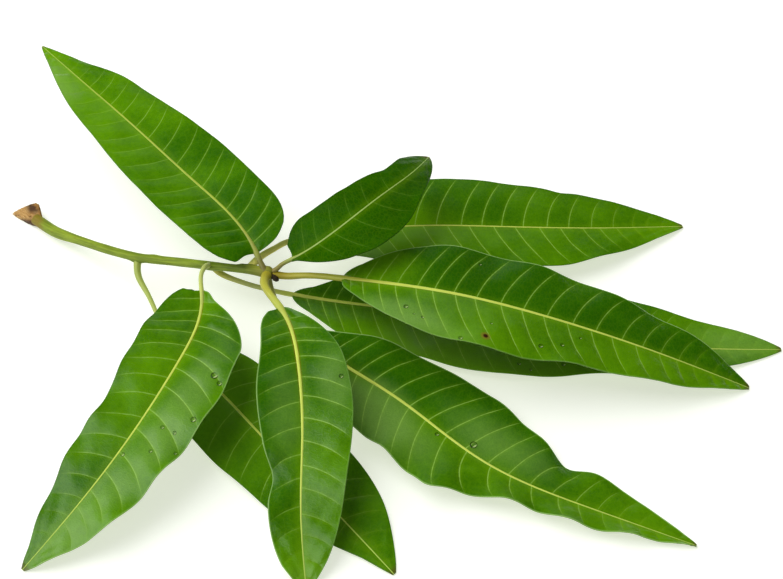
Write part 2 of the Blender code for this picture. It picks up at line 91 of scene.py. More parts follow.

# Each leaf, in mm and degrees; pairs are for its left and right half, as seen from its base:
#   stalk   route of the stalk, from inside the twig to just before the blade
#   radius  of the stalk
#   swell   its thickening at the twig
#   slim    how much of the midrib's narrowing happens at its start
#   shine   specular level of the upper face
#   rib     five points of the midrib, from the base of the blade to its tip
#   widths  half-widths of the halves at the stations
#   lift    rise of the halves from the midrib, at the base, the middle and the tip
#   droop   how far a half turns down again over 20 mm, at the base, the middle and the tip
#   waves   of the margins: how many, their height, and the part of a wave they start at
#   lobe    how far the margins of the halves reach back past the end of the stalk
#   dents   of the margins: half, place, depth, fall and half length
#   quilt   how far the blade swells between its side veins
#   tone    of the halves, from 0, DEEP_GREEN, to 1, FRESH_GREEN, and what the tip adds to the base's; partly painted light and shade, set lighter on some halves and base ends for sheen or for light in their shade and darker on others as painted shade
#   veins   how far the halves' side veins stand out in colour
#   edges   of the halves: pale above 0, a painted highlight where the margin catches the light, and darker below
#   rust    how brown they are beside the midrib, towards the base: the rib's own golden-brown edge, and on one side a painted shadow line under the raised rib
#   blooms  pale clouds of painted sheen on the upper face, a few also painting light into shaded parts: place
#   along and across it, half lengths there, and strength
#   fresh   clouds of the same form that turn the green towards FRESH_GREEN, or deeper where the strength is below 0; several paint light into parts that lie in the shade of other leaves
#   skin    colours of the stalk at the twig, half way and at the blade, where rib_colour takes over; on leaf_back_right and leaf_right_long they are set lighter, painting light into the shade that other leaves cast on these stalks
LEAVES = {
    "leaf_back_left": dict(
        stalk=((-53, -13, 27), (-55, -10, 29)), radius=1.3, slim=0.5, shine=0.3,
        rib=((-57, -6, 31), (-84, 27.5, 38), (-113.5, 59, 41), (-140.5, 91, 38), (-167.5, 127, 30)),
        widths=((16.8, 22.2, 22.3, 19.6, 15.9, 10.4, 4.4), (16.8, 20.4, 21.8, 19.4, 16.6, 11, 4.2)),
        lift=((16, 8, 4), (20, 12, 6)), droop=(8, 10, 10), waves=((4, 0.6, 0), (4, 0.6, 0.5)), lobe=(5.5, 1),
        quilt=(0.6, 0.3), tone=(0.62, 0.38, 0.6), veins=(0.25, 0.45), edges=(-0.3, -0.3),
        painted_sheen=((150, 12, 34, 12, 0.42),), fresh_and_fill_light=((25, 0, 36, 22, -0.15),), rib_colour=(166, 184, 58),
        skin=((112, 104, 44), (120, 116, 52), (150, 158, 66))),
    "leaf_small_back": dict(
        stalk=(NODE, (-49, -12.5, 27.5), (-46.5, -12, 30)), radius=1, slim=0.6, shine=0.04,
        rib=((-41.5, -12, 34), (-23, -5, 44), (-5.5, 8, 50), (7, 22.5, 48), (16.5, 42.5, 39.5)),
        widths=((11.4, 15.9, 14.7, 13.6, 10.4, 9.4, 7.4), (3, 11.5, 18.6, 20.2, 13.8, 8.2, 4.3)),
        lift=((10, 10, 10), (20, 6, 0)), droop=(10, 12, 10), waves=((4, 0.5, 0), (4, 0.5, 0.5)),
        lobe=(3.4, 2), quilt=(0.12, 0.12), tone=(-0.25, -0.3, 0), veins=(0.11, 0.12), edges=(-0.4, -0.4),
        rib_colour=(158, 186, 92), skin=((128, 112, 44), (140, 134, 62), (150, 166, 74))),
    "leaf_back_right": dict(
        stalk=((-61, -10.5, 25), (-55, -3.5, 26.5), (-50, 1, 26), (-46, 5, 25)), radius=1.35, swell=0.5,
        slim=0.65, shine=0.3,
        rib=((-38, 9.5, 23), (4.5, 19, 20), (48, 23.5, 15), (90.5, 29, 8), (133.5, 37, 0.4)),
        widths=((9, 19.4, 26.6, 27.5, 24.4, 18.2, 9), (9, 17.5, 24.5, 25.6, 22.8, 16, 7.2)),
        lift=((12, 8, 5), (12, 8, 5)), droop=(8, 9, 8), waves=((5, 0.3, 0), (5, 1, 0.5)), lobe=(2, 2),
        dents=((0, 0.685, 0.9, 0.5, 6),), quilt=(0.22, 0.22), tone=(0.3, 0.5, 0.2), veins=(0.7, 0.8),
        edges=(-0.4, 0), painted_sheen=((14, -12, 26, 12, 0.2),),
        fresh_and_fill_light=((30, -6, 45, 22, 1.2), (165, 0, 24, 16, 0.25)),
        # The stalk's colours are set lighter, painting light into the shade that the leaves above cast on it
        skin=((235, 230, 120), (225, 220, 108), (196, 202, 92))),
    "leaf_right_upper": dict(
        stalk=(NODE, (-45, -14, 25.5), (-38, -15.5, 27.5)), radius=1.4, slim=0.25,
        rib=((-20.5, -20, 31), (23, -29.5, 33), (66, -37.5, 26), (108, -46, 15), (150, -54.5, 0.2)),
        widths=((7.8, 18.9, 25.2, 26.1, 23.8, 18.2, 11), (9.2, 20.2, 26.4, 25.6, 20, 15, 7.4)),
        lift=((14, 4, 4), (20, 12, 6)), droop=(10, 10, 8), lobe=(0, 1),
        quilt=(0.3, 0.4), tone=(0.16, 0.64, 0.3), veins=(0.62, 0.72), edges=(0.9, 0.2), rib_brown_and_shade=(0, 0.6),
        painted_sheen=((24, -19, 26, 10, 0.35), (45, -25, 22, 8, 0.25)),
        fresh_and_fill_light=((12, 9, 28, 14, 0.8), (46, 12, 26, 14, -0.2)),
        skin=((150, 134, 14), (178, 172, 54), (184, 188, 60))),
    "leaf_right_long": dict(
        stalk=((-76, -6.5, 23), (-74.5, -6.5, 20), (-67, -8.5, 16.5), (-55.5, -11, 14)), radius=1.15,
        slim=0.2, rib=((-42.5, -13, 12), (9, -18, 7), (61, -26, 5), (114, -34, 3), (167, -34, 0.5)),
        widths=((6, 17, 24.5, 27, 27.3, 18.4, 10.1), (9.4, 21.4, 26, 28, 20.4, 15, 7.6)),
        lift=((10, 5, 3), (10, 8, 5)), droop=(6, 8, 6), waves=((5, 1, 0.5), (5, 1, 0)), lobe=(0, 0),
        quilt=(0.25, 0.25), tone=(0.35, 0.35, 0.3), veins=(0.6, 0.7), edges=(-0.2, 0), rib_brown_and_shade=(0, 0.2),
        painted_sheen=((88, -19, 60, 14, 0.15), (196, 3, 30, 12, 0.3)),
        fresh_and_fill_light=((80, -18, 90, 22, 1), (178, 10, 30, 14, 0.3)),
        # The stalk's colours are set lighter, painting light into the shade that the leaf above casts on it
        skin=((190, 186, 70), (170, 176, 100), (190, 200, 84))),
    "leaf_front_right": dict(
        stalk=(NODE, (-52, -13, 22.5), (-49.5, -20.5, 18.5)), radius=1.3, swell=0.3, slim=0.3,
        rib=((-40, -34.5, 15), (1.5, -65, 9), (38, -95.5, 6), (77.5, -114.5, 3.5), (118.5, -130, 0.65)),
        widths=((6, 16, 22, 27, 22.2, 15.6, 7), (8.6, 21, 23.2, 23.8, 12.6, 10.6, 5.5)),
        lift=((18, 6, -2), (8, 14, 30)), droop=(8, 8, 4), waves=((7, 0.6, 0.95), (8, 2, 0.4)), lobe=(1, 1),
        dents=((0, 0.69, 4, 2.5, 9), (1, 0.475, -3, 0, 5)), quilt=(0.4, 0.4), tone=(0.22, 0.48, 0.2),
        veins=(0.7, 0.8), edges=(0.9, 0.6), rib_brown_and_shade=(0.3, 0.5),
        painted_sheen=((52, -12, 42, 14, 0.5), (98, 9, 30, 12, 0.3)),
        fresh_and_fill_light=((175, 0, 44, 20, 0.4), (92, -14, 30, 12, -0.25)),
        skin=((140, 140, 60), (150, 156, 66), (176, 186, 70))),
    "leaf_front": dict(
        stalk=(NODE, (-53, -17, 27.5), (-52.5, -23.5, 30)), radius=1.7, swell=0.4, slim=0.5,
        rib=((-45.5, -36, 31), (-37, -65, 31), (-34.5, -94, 26), (-34.5, -122.5, 15), (-32, -149.5, 0.15)),
        widths=((4.6, 12.5, 19, 20.2, 18, 15, 8.9), (9.6, 13.4, 16.8, 17.1, 13.8, 12.3, 8.4)),
        lift=((18, 13, 8), (18, 13, 8)), droop=(12, 9, 8), lobe=(0, 2),
        dents=((1, 0.64, 2.4, 1.5, 7),), quilt=(0.4, 0.35), tone=(0.3, 0.28, 0.45), veins=(0.6, 0.5),
        edges=(0.2, 0.6), rib_brown_and_shade=(0.6, 0.6),
        painted_sheen=((40, 14, 18, 9, 0.3), (55, -6, 30, 8, 0.2), (140, 2, 30, 16, 0.25)),
        fresh_and_fill_light=((140, 0, 40, 24, 0.9), (76, -8, 20, 10, -0.25)),
        skin=((158, 148, 28), (178, 176, 56), (186, 196, 78))),
    "leaf_front_left": dict(
        stalk=((-77, -6, 23), (-78.5, -9, 26), (-80, -14.5, 27)), radius=1, swell=0.5, slim=0.35,
        rib=((-79.5, -21.5, 25), (-84.5, -57, 26), (-99.5, -88.5, 22), (-118.5, -116, 13),
             (-141, -140.5, 0.25)),
        widths=((5.2, 17.3, 24, 24, 21.2, 16.4, 8.2), (12.5, 18.8, 20.7, 18.8, 18, 13.2, 6.8)),
        lift=((16, 13, 8), (16, 13, 8)), droop=(12, 10, 8), waves=((6, 1.6, 0.7), (6, 1.2, 0.1)),
        lobe=(1, 4), dents=((1, 0.505, 1.5, 0, 6),), quilt=(0.65, 0.35), tone=(0.6, 0.42, 0),
        veins=(0.65, 0.5), edges=(0.5, -0.3), rib_brown_and_shade=(0.4, 0.1),
        painted_sheen=((122, 8, 34, 9, 0.3), (61, 13, 40, 9, 0.3)),
        fresh_and_fill_light=((25, 12, 30, 16, -0.3), (52, -9, 36, 12, 0.15)),
        skin=((172, 180, 88), (186, 196, 108), (192, 204, 96))),
    "leaf_low_front": dict(
        stalk=((-110, 4.5, 16), (-110, -1, 12), (-106, -8.5, 9)), radius=1, swell=0.95, slim=0.2,
        rib=((-96.5, -28, 6), (-72.5, -57, 4), (-48, -85.5, 3), (-23, -114, 2.2), (1.5, -142.5, 0.55)),
        widths=((7, 14.5, 20.6, 22, 22, 19.3, 10.2), (7, 14, 22, 22, 19.3, 13.4, 5)),
        lift=((8, 5, 3), (8, 5, 3)), droop=(6, 7, 6), lobe=(1, 1),
        quilt=(0.25, 0.25), tone=(0.58, 0.58, -0.1), veins=(0.55, 0.55), edges=(-0.2, -0.2),
        fresh_and_fill_light=((24, 0, 40, 30, 0.35),), skin=((158, 172, 74), (166, 180, 84), (176, 188, 88)))
}
ROUTE_STEPS = 400
EVEN = np.linspace(0, 1, ROUTE_STEPS)
BLADE_END = 0.994

BLADE_THICKNESS = 0.46
MARGIN_ROUNDING = 0.25
RIB_END_RADIUS = 0.24
RIB_ABOVE = 0.5
RIB_BELOW = 0.9
RIB_BLEND = 0.06

VEIN_SPACING = 9.2
VEIN_LEAN = 0.46
BESIDE_VEIN = (0, 0.16, 0.4, 0.8, 1.5)
BASE_ROWS = (0.01, 0.03, 0.08, 0.3, 0.6, 1.2, 2.1)
BETWEEN_ROWS = 1.3
MARGIN_COLUMNS = (1.2, 0.85, 0.55, 0.3, 0.2, 0.11, 0.04, 0)
BLADE_COLUMNS = 28
VEIN_RIDGE = 0.26
VEIN_RIDGE_REACH = 0.35
ROLLING = 0.09
DROOP_OVER = 20
# Part of the length over which the lobe begins, and the power by which it fades towards the tip
LOBE_START = 0.02
LOBE_FADE = 12

# Values at the points of a mesh: kind of attribute, its field and width.  UNSET stands where a body has none
STORED = {"blade": ("FLOAT_VECTOR", "vector", 3), "stalk": ("FLOAT_VECTOR", "vector", 3),
          "margin": ("FLOAT", "value", 1)}
UNSET = 9

# Rows along the bodies and columns round them
STALK_ROWS, RIB_ROWS, STALK_COLUMNS = 45, 150, 18
TWIG_ROWS, TWIG_END_ROWS, TWIG_COLUMNS = 240, 14, 36
HEEL_ROWS, HEEL_COLUMNS = 90, 84
SPLINTER_ROWS, SPLINTER_COLUMNS = 12, 8
BUD_ROWS, BUD_COLUMNS = 48, 24
DROP_ROWS, DROP_COLUMNS = 26, 28

# Sharpness of the heel's edges, its furrows' depth and their limit, and how many splinters it has
HEEL_SHARPNESS = 16
FURROW = 0.09
DEEPEST_FURROW = 0.45
SHORT_SPLINTERS, LONG_SPLINTERS = 11, 3

# Water drops on a leaf: half (0 left, 1 right), place along and across it, and radius
DROPS = {
    "leaf_right_upper": ((1, 0.168, 0.6, 1), (1, 0.21, 0.73, 0.7), (1, 0.19, 0.71, 0.45), (1, 0.3, 0.93, 0.9),
                         (1, 0.36, 0.5, 0.6), (1, 0.48, 0.73, 0.95), (1, 0.53, 0.62, 0.85),
                         (1, 0.57, 0.32, 0.6), (0, 0.31, 0.7, 0.7)),
    "leaf_right_long": ((1, 0.56, 0.75, 0.9), (1, 0.475, 0.8, 0.8), (1, 0.5, 0.88, 0.6)),
    "leaf_front_right": ((0, 0.482, 0.12, 1.5), (1, 0.404, 0.1, 0.9)),
    "leaf_front_left": ((0, 0.298, 0.74, 1.5), (0, 0.313, 0.88, 1.1), (0, 0.43, 0.84, 1.2),
                        (0, 0.478, 0.45, 0.8), (0, 0.477, 0.68, 0.8), (0, 0.55, 0.55, 0.8),
                        (0, 0.526, 0.9, 0.7), (0, 0.593, 0.1, 0.9)),
    "leaf_front": ((0, 0.32, 0.86, 0.9),)
}

# Where the bright crescent in a drop lies, a painted highlight
DROP_GLINT = (0.6, -0.8, 0)

# Brown spot: leaf, half, place along and across it
SPOT = ("leaf_right_upper", 1, 0.352, 0.8)

# Colours, as sRGB from 0 to 255
DARK_GREEN = (12, 44, 0)
DEEP_GREEN = (38, 94, 0)
FRESH_GREEN = (91, 146, 1)
VEIN_GREEN = (150, 194, 80)
RIB_GREEN = (206, 222, 90)
LIGHT_GREEN = (140, 180, 8)
# Painted highlight along the leaf margins
MARGIN_HIGHLIGHT_GREEN = (160, 200, 110)
MARGIN_DARK = (38, 66, 12)
# Colour of the painted sheen on the leaves
SHEEN_GREEN = (138, 180, 84)
# Brown of the rib's own edge, also painted as the shadow line beside the rib
RIB_EDGE_AND_SHADE_BROWN = (136, 112, 10)
TIP_BROWN = (84, 66, 30)
UNDER_GREEN = (112, 146, 74)
UNDER_VEIN = (178, 192, 120)
BARK_OLIVE = (104, 124, 16)
BARK_LIGHT = (142, 162, 36)
BARK_BROWN = (134, 100, 26)
TORN_TAN = (166, 120, 56)
TORN_PALE = (204, 166, 104)
TORN_BROWN = (66, 38, 14)
# Brown of the bud's scales, also painted on the twig as the shadow at the bud
BUD_AND_SHADOW_BROWN = (44, 34, 18)
BUD_PALE = (68, 54, 28)
NODE_OLIVE = (136, 116, 48)
# Painted shade of a drop's rim and painted highlight of its crescent
DROP_RIM_SHADE = (16, 46, 2)
DROP_CRESCENT_HIGHLIGHT = (196, 222, 140)
SPOT_TAN = (128, 112, 34)
SPOT_BROWN = (58, 26, 8)
FLOOR_WHITE = (204, 204, 204)
FLOOR_GLOW = (0.56, 0.58, 0.5, 1)
FLOOR_HALF = 4

# What a leaf has unless its entry says something else
PLAIN_LEAF = dict(swell=0.35, shine=0.5, waves=((5, 1, 0), (5, 1, 0.5)), dents=(), painted_sheen=(), fresh_and_fill_light=(),
                  rib_colour=RIB_GREEN)

# Where colours start and end on twig and heel, in metres
HEEL_BARK = (-0.1555, -0.151)
NODE_BARK = (-0.06, -0.048)
BUD_SHADE = (0.0026, 0.004)
TORN_ZONE = (0.1505, 0.1535)
DARK_FRONT = (0.0387, 0.0412)
KNOB_ZONE = (0.0036, 0.0072)
KNOB_TOP = (0.0058, 0.0064)

# Lights: name, place, aim, size, power, and whether it shines in glossy things instead of lighting them
LIGHTS = (("high_left_softbox", (-0.6, 0.12, 1.06), (0, 0, 0), (1.1, 1.1), 15, False),
          ("left_shine_panel", (-0.77, -0.445, 0.65), (0, 0, 0.03), (2.2, 1.05), 13, True),
          ("back_shine_card", (-0.02, 1.128, 0.655), (0, 0, 0.03), (0.99, 0.41), 0.6, True))
SKY_COLOUR = (0.96, 0.98, 1, 1)
SKY_STRENGTH = 0.36


def colour(srgb, by=1):
    """Linear colour of an sRGB one given from 0 to 255, darkened first where by is below 1."""
    share = by * np.array(srgb) / 255
    linear = np.where(share <= 0.04045, share / 12.92, ((share + 0.055) / 1.055) ** 2.4)
    return (*linear.tolist(), 1)


class Value:
    """A number that varies over a surface.  Each operator adds the Math node that works it out."""

    def __init__(self, paint, socket):
        self.paint = paint
        self.socket = socket

    def math(self, operation, *others):
        return self.paint.node("ShaderNodeMath", {"operation": operation}, dict(enumerate((self, *others))))

    def __add__(self, other):
        return self.math("ADD", other)

    def __sub__(self, other):
        return self.math("SUBTRACT", other)

    def __mul__(self, other):
        return self.math("MULTIPLY", other)

    def __truediv__(self, other):
        return self.math("DIVIDE", other)

    def __abs__(self):
        return self.math("ABSOLUTE")

    def most(self, other):
        return self.math("MAXIMUM", other)

    __radd__ = __add__


class Paint:
    """One material, the nodes in it and its base colour so far."""

    def __init__(self, name):
        self.material = bpy.data.materials.new(name)
        self.material.use_nodes = True
        self.tree = self.material.node_tree
        self.tree.nodes.clear()
        self.output = self.tree.nodes.new("ShaderNodeOutputMaterial")
        self.base = None

    def node(self, kind, settings=None, inputs=None, out=0):
        """Add a node, with its settings and the values or links of its sockets.  Gives one of its outputs."""
        node = self.tree.nodes.new(kind)
        for name, value in (settings or {}).items():
            setattr(node, name, value)
        for place, value in (inputs or {}).items():
            if isinstance(value, Value):
                self.tree.links.new(value.socket, node.inputs[place])
            else:
                node.inputs[place].default_value = value
        return Value(self, node.outputs[out])

    def attribute(self, name, out="Fac"):
        return self.node("ShaderNodeAttribute", {"attribute_name": name}, out=out)

    def parts(self, vector):
        """The three numbers of a vector."""
        split = self.node("ShaderNodeSeparateXYZ", inputs={0: vector})
        return [Value(self, socket) for socket in split.socket.node.outputs]

    def vector(self, x, y, z):
        return self.node("ShaderNodeCombineXYZ", inputs={0: x, 1: y, 2: z})

    def place(self):
        """Object coordinates, in metres."""
        return self.node("ShaderNodeTexCoord", out="Object")

    def stretch(self, vector, by):
        return self.node("ShaderNodeVectorMath", {"operation": "MULTIPLY"}, {0: vector, 1: by})

    def distance(self, vector, point):
        settings = {"operation": "DISTANCE"}
        return self.node("ShaderNodeVectorMath", settings, {0: vector, 1: point}, out="Value")

    def noise(self, vector, scale, detail=3, roughness=0.5):
        return self.node("ShaderNodeTexNoise", None,
                         {"Vector": vector, "Scale": scale, "Detail": detail, "Roughness": roughness})

    def cells(self, vector, scale):
        """Distance from the nearest wall of a net of irregular cells."""
        settings = {"feature": "DISTANCE_TO_EDGE"}
        return self.node("ShaderNodeTexVoronoi", settings, {"Vector": vector, "Scale": scale})

    def fade(self, value, low, high, start=0, end=1):
        """From start, where the value is low, smoothly to end, where it is high."""
        return self.node("ShaderNodeMapRange", {"interpolation_type": "SMOOTHSTEP"},
                         {0: value, 1: low, 2: high, 3: start, 4: end})

    def near(self, value, low, high, start=1):
        """From start, where the value is low, smoothly to 0, where it is high."""
        return self.fade(value, low, high, start, 0)

    def mix(self, share, first, second):
        """A colour between two, by share.  Each is a Value, a linear colour or one of three sRGB numbers."""
        first, second = (colour(c) if isinstance(c, tuple) and len(c) == 3 else c for c in (first, second))
        return self.node("ShaderNodeMix", {"data_type": "RGBA"}, {0: share, 6: first, 7: second}, out=2)

    def coat(self, share, over):
        """Mix a colour into the base colour, by share."""
        self.base = self.mix(share, self.base, over)

    def finish(self, roughness, relief=None, IOR=1.45, **others):
        """Principled surface of the base colour.  Its relief has a height, a distance and a strength."""
        inputs = {"Base Color": self.base, "Roughness": roughness, "IOR": IOR}
        inputs.update({name.replace("_", " "): value for name, value in others.items()})
        if relief:
            settings = dict(zip(("Height", "Distance", "Strength"), relief))
            inputs["Normal"] = self.node("ShaderNodeBump", None, settings)
        surface = self.node("ShaderNodeBsdfPrincipled", None, inputs)
        self.tree.links.new(surface.socket, self.output.inputs["Surface"])
        return self.material


def smooth(knots, values, at):
    """Natural cubic spline through the values at the knots, read at other places."""
    knots = np.asarray(knots, float)
    values = np.asarray(values, float).reshape(len(knots), -1)
    gaps = np.diff(knots)
    system = np.eye(len(knots))
    bends = np.zeros_like(values)
    for i in range(1, len(knots) - 1):
        system[i, i - 1:i + 2] = gaps[i - 1], 2 * (gaps[i - 1] + gaps[i]), gaps[i]
        bends[i] = 6 * ((values[i + 1] - values[i]) / gaps[i] - (values[i] - values[i - 1]) / gaps[i - 1])
    bends = np.linalg.solve(system, bends)
    i = np.clip(np.searchsorted(knots, at, side="right") - 1, 0, len(knots) - 2)
    before = ((knots[i + 1] - at) / gaps[i])[:, None]
    after = 1 - before
    cubic = ((before**3 - before) * bends[i] + (after**3 - after) * bends[i + 1]) * gaps[i, None]**2 / 6
    return before * values[i] + after * values[i + 1] + cubic


def even_route(points):
    """A smooth route through the points in even steps, its fraction at each point, and its length."""
    points = np.asarray(points, float)
    chords = np.r_[0, np.cumsum(np.linalg.norm(np.diff(points, axis=0), axis=1))]
    fine_at = np.linspace(0, chords[-1], ROUTE_STEPS)
    fine = smooth(chords, points, fine_at)
    run = np.r_[0, np.cumsum(np.linalg.norm(np.diff(fine, axis=0), axis=1))]
    return sample(fine, EVEN, run / run[-1]), np.interp(chords, fine_at, run / run[-1]), run[-1]


def sample(rows, at, places=EVEN):
    """Rows of numbers that belong to the given places, read at others."""
    return np.stack([np.interp(at, places, column) for column in rows.T], axis=-1)


def along_route(route, at):
    """Points of an even route at fractions of its length, and the directions forward, to the left and up."""
    forward = unit(sample(unit(np.gradient(route, axis=0)), at))
    left = unit(np.cross((0, 0, 1), forward))
    return sample(route, at), forward, left, np.cross(forward, left)


def circle(columns, shift=0):
    """Angles spread evenly round a circle."""
    return (np.arange(columns) + shift) / columns * 2 * np.pi


def spokes(angle, left, up):
    """Directions outwards at the angles, from left towards up, at each point of a route."""
    return np.cos(angle)[None, :, None] * left[:, None] + np.sin(angle)[None, :, None] * up[:, None]


def stacked(*values):
    """Arrays spread to one shape, as the last axis of one array."""
    return np.stack(np.broadcast_arrays(*values), axis=-1)


def unit(vectors):
    """The vectors at length 1."""
    return vectors / np.linalg.norm(vectors, axis=-1, keepdims=True)


def ease(value, low, high):
    """0 below low, 1 above high, and 3t^2 - 2t^3 of the share t of the way between."""
    t = np.clip((value - low) / (high - low), 0, 1)
    return t * t * (3 - 2 * t)


def base_middle_tip(values, s):
    """A quadratic through the values at the base (s = 0), the middle and the tip (s = 1)."""
    base, middle, tip = values
    return base * (1 - s) * (1 - 2 * s) + 4 * middle * s * (1 - s) + tip * s * (2 * s - 1)


def half_width(leaf, half, s):
    """The curve s^BASE_POWER (1 - s)^TIP_POWER, times a smooth ratio that meets the given half-widths."""
    def curve(t):
        return t**BASE_POWER * (1 - t)**TIP_POWER
    within = np.clip(s, STATIONS[0], STATIONS[-1])
    ratio = smooth(STATIONS, np.array(leaf["widths"][half]) / curve(STATIONS), within.ravel())
    return ratio.reshape(s.shape) * curve(s)


def leaf_route(leaf):
    """The even route of stalk and midrib, the fraction of it at which the blade starts, and its length."""
    route, marks, length = even_route(leaf["stalk"] + leaf["rib"])
    return route, marks[len(leaf["stalk"])], length


def rib_frame(leaf, s):
    """Points of the midrib at s, and the directions forward, to the left and up."""
    route, start, _ = leaf_route(leaf)
    forward = unit(np.gradient(route, axis=0))
    left = unit(np.cross((0, 0, 1), forward))
    at = start + (1 - start) * s
    forward, left = unit(sample(forward, at)), unit(sample(left, at))
    return sample(route, at), forward, left, np.cross(forward, left)


def blade_length(leaf):
    """Length of the midrib from the base of the blade to its tip."""
    _, start, whole = leaf_route(leaf)
    return whole * (1 - start)


def on_blade(leaf, half, s, u):
    """Millimetres along and across the blade, left above 0, of a place given by half, s and u."""
    across = u * half_width(leaf, half, np.array([s])).item()
    return s * blade_length(leaf), (1 - 2 * half) * across


def half_surface(leaf, half, s, u):
    """Middle surface of half a blade, at s along it (0 base to 1 tip) and u across it (0 midrib to 1 margin).

    It leaves the midrib at its lift angle and turns down again along an arc.  The margin rises and falls as a
    sine of s, by the square of u.  Just past the base it reaches back by the lobe, which fades by a power of
    1 - s.  A dent draws it in and down by a bell curve of s.
    """
    middle, forward, left, up = rib_frame(leaf, s)
    reach = u * half_width(leaf, half, s)
    fall = 0
    for dented, at, depth, down, half_length in leaf["dents"]:
        bell = np.exp(-((s - at) * blade_length(leaf) / half_length)**2) * (dented == half)
        reach = reach - depth * bell * u
        fall = fall + down * bell * u**2
    lift = np.radians(base_middle_tip(leaf["lift"][half], s))
    turn = np.radians(base_middle_tip(leaf["droop"], s)) / DROOP_OVER
    out = (np.sin(lift) - np.sin(lift - turn * reach)) / turn
    rise = (np.cos(lift - turn * reach) - np.cos(lift)) / turn
    count, height, start = leaf["waves"][half]
    rise += height * np.sin(2 * np.pi * (count * s + start)) * u**2 * (4 * s * (1 - s))**0.5 - fall
    back = leaf["lobe"][half] * u**2 * (1 - s)**LOBE_FADE * ease(s, 0, LOBE_START)
    sign = 1 - 2 * half
    return middle + sign * left * out[..., None] + up * rise[..., None] - forward * back[..., None]


def vein_starts(length, random):
    """Where side veins leave the midrib, in mm from the base: closest together at both ends."""
    starts = [VEIN_SPACING * random.uniform(0.35, 0.75)]
    while True:
        share = starts[-1] / length
        step = VEIN_SPACING * (0.62 + 0.5 * np.sin(np.pi * share)) * random.uniform(0.85, 1.15)
        if starts[-1] + step > length - 3:
            return np.array(starts)
        starts.append(starts[-1] + step)


def sheet_rows(starts, length):
    """Places of the rows along the midrib: close together beside each vein and evenly spread between."""
    marks = np.r_[0, starts, length * BLADE_END]
    rows = [BASE_ROWS]
    for before, after in zip(marks[:-1], marks[1:]):
        beside = np.array(BESIDE_VEIN) * min(1, (after - before) / 5)
        steps = int((after - before - 2 * beside[-1]) / BETWEEN_ROWS) + 2
        between = np.linspace(before + beside[-1], after - beside[-1], steps)
        rows += [before + beside[:-1], between, after - beside[:-1]]
    rows = np.unique(np.round(np.concatenate(rows), 4))
    return rows[rows > 0]


def there_and_back(upper, lower):
    """Rows across the upper face and back across the lower one, which share their last point."""
    return np.concatenate([upper, lower[:, -2::-1]], axis=1)


def half_blade(leaf, half, random):
    """Half a blade as a closed sheet whose rows follow the side veins.

    A row leaves the midrib at its own place and leans forward by VEIN_LEAN half-widths times 0.4 u + 0.6 u^2.
    Between two veins the sheet swells by a parabola.  It thins to nothing at the margin along a quarter of an
    ellipse, and under each vein a ridge stands out.
    """
    length = blade_length(leaf)
    starts = vein_starts(length, random)
    rows = sheet_rows(starts, length)
    to_tip = length * BLADE_END - rows
    lean = np.minimum(VEIN_LEAN * half_width(leaf, half, rows / length), 0.8 * to_tip)
    margin = half_width(leaf, half, np.clip((rows + lean) / length, 0, 0.999))
    band = np.minimum(MARGIN_COLUMNS[0], 0.5 * margin)[:, None]
    inner = np.linspace(0, 1, BLADE_COLUMNS, endpoint=False) * (1 - band / margin[:, None])
    outer = 1 - np.array(MARGIN_COLUMNS) / MARGIN_COLUMNS[0] * band / margin[:, None]
    u = np.concatenate([inner, outer], axis=1)
    s = np.clip((rows[:, None] + lean[:, None] * (0.4 * u + 0.6 * u**2)) / length, 0, 0.999)
    width = half_width(leaf, half, s)
    reach, from_margin = u * width, (1 - u) * width

    marks = np.r_[0, starts, rows[-1] + 0.01]
    i = np.searchsorted(marks, rows, side="right") - 1
    share = (rows - marks[i]) / (marks[i + 1] - marks[i])
    swell = random.uniform(0.5, 1.5, len(marks))[i] * (1 - (2 * share - 1)**2) - 0.5
    envelope = ease(u, 0.02, 0.45) * (1 - 0.8 * ease(u, 0.7, 1))
    # Four are drawn and three used, which keeps the draws that follow in their order
    phases = random.uniform(0, 2 * np.pi, 4)
    rolling = sum(np.sin(2 * np.pi * (along * s + across * u) + phase)
                  for (along, across), phase in zip(((3.1, 0.8), (5.3, -0.9), (8.7, 1.7)), phases))
    relief = leaf["quilt"][half] * swell[:, None] * envelope
    relief = relief + ROLLING * rolling * ease(u, 0, 0.5) * ease(1 - s, 0, 0.08)
    from_vein = np.abs(rows[:, None] - starts[None]).min(axis=1)[:, None] + 0.3 * ease(s, 0.7, 1)

    middle = half_surface(leaf, half, s, u)
    normal = unit(np.cross(np.gradient(middle, axis=0), np.gradient(middle, axis=1))) * (1 - 2 * half)
    rounding = np.minimum(MARGIN_ROUNDING, 0.3 * margin)[:, None]
    thick = BLADE_THICKNESS / 2 * np.sqrt(1 - np.clip(1 - from_margin / rounding, 0, 1)**2)
    ridge = VEIN_RIDGE * (1 - 0.8 * u) * np.exp(-(from_vein / VEIN_RIDGE_REACH)**2) * ease(from_margin, 0, 2)
    upper = middle + normal * (relief + thick)[..., None]
    lower = middle + normal * (relief - thick - ridge)[..., None]
    columns = u.shape[1]
    face = np.where(np.arange(2 * columns - 1) < columns - 1, 0, 1)
    blade = stacked(s * length, reach * (1 - 2 * half), from_vein)
    return dict(rings=there_and_back(upper, lower), face=face, blade=there_and_back(blade, blade),
                margin=there_and_back(from_margin, from_margin))


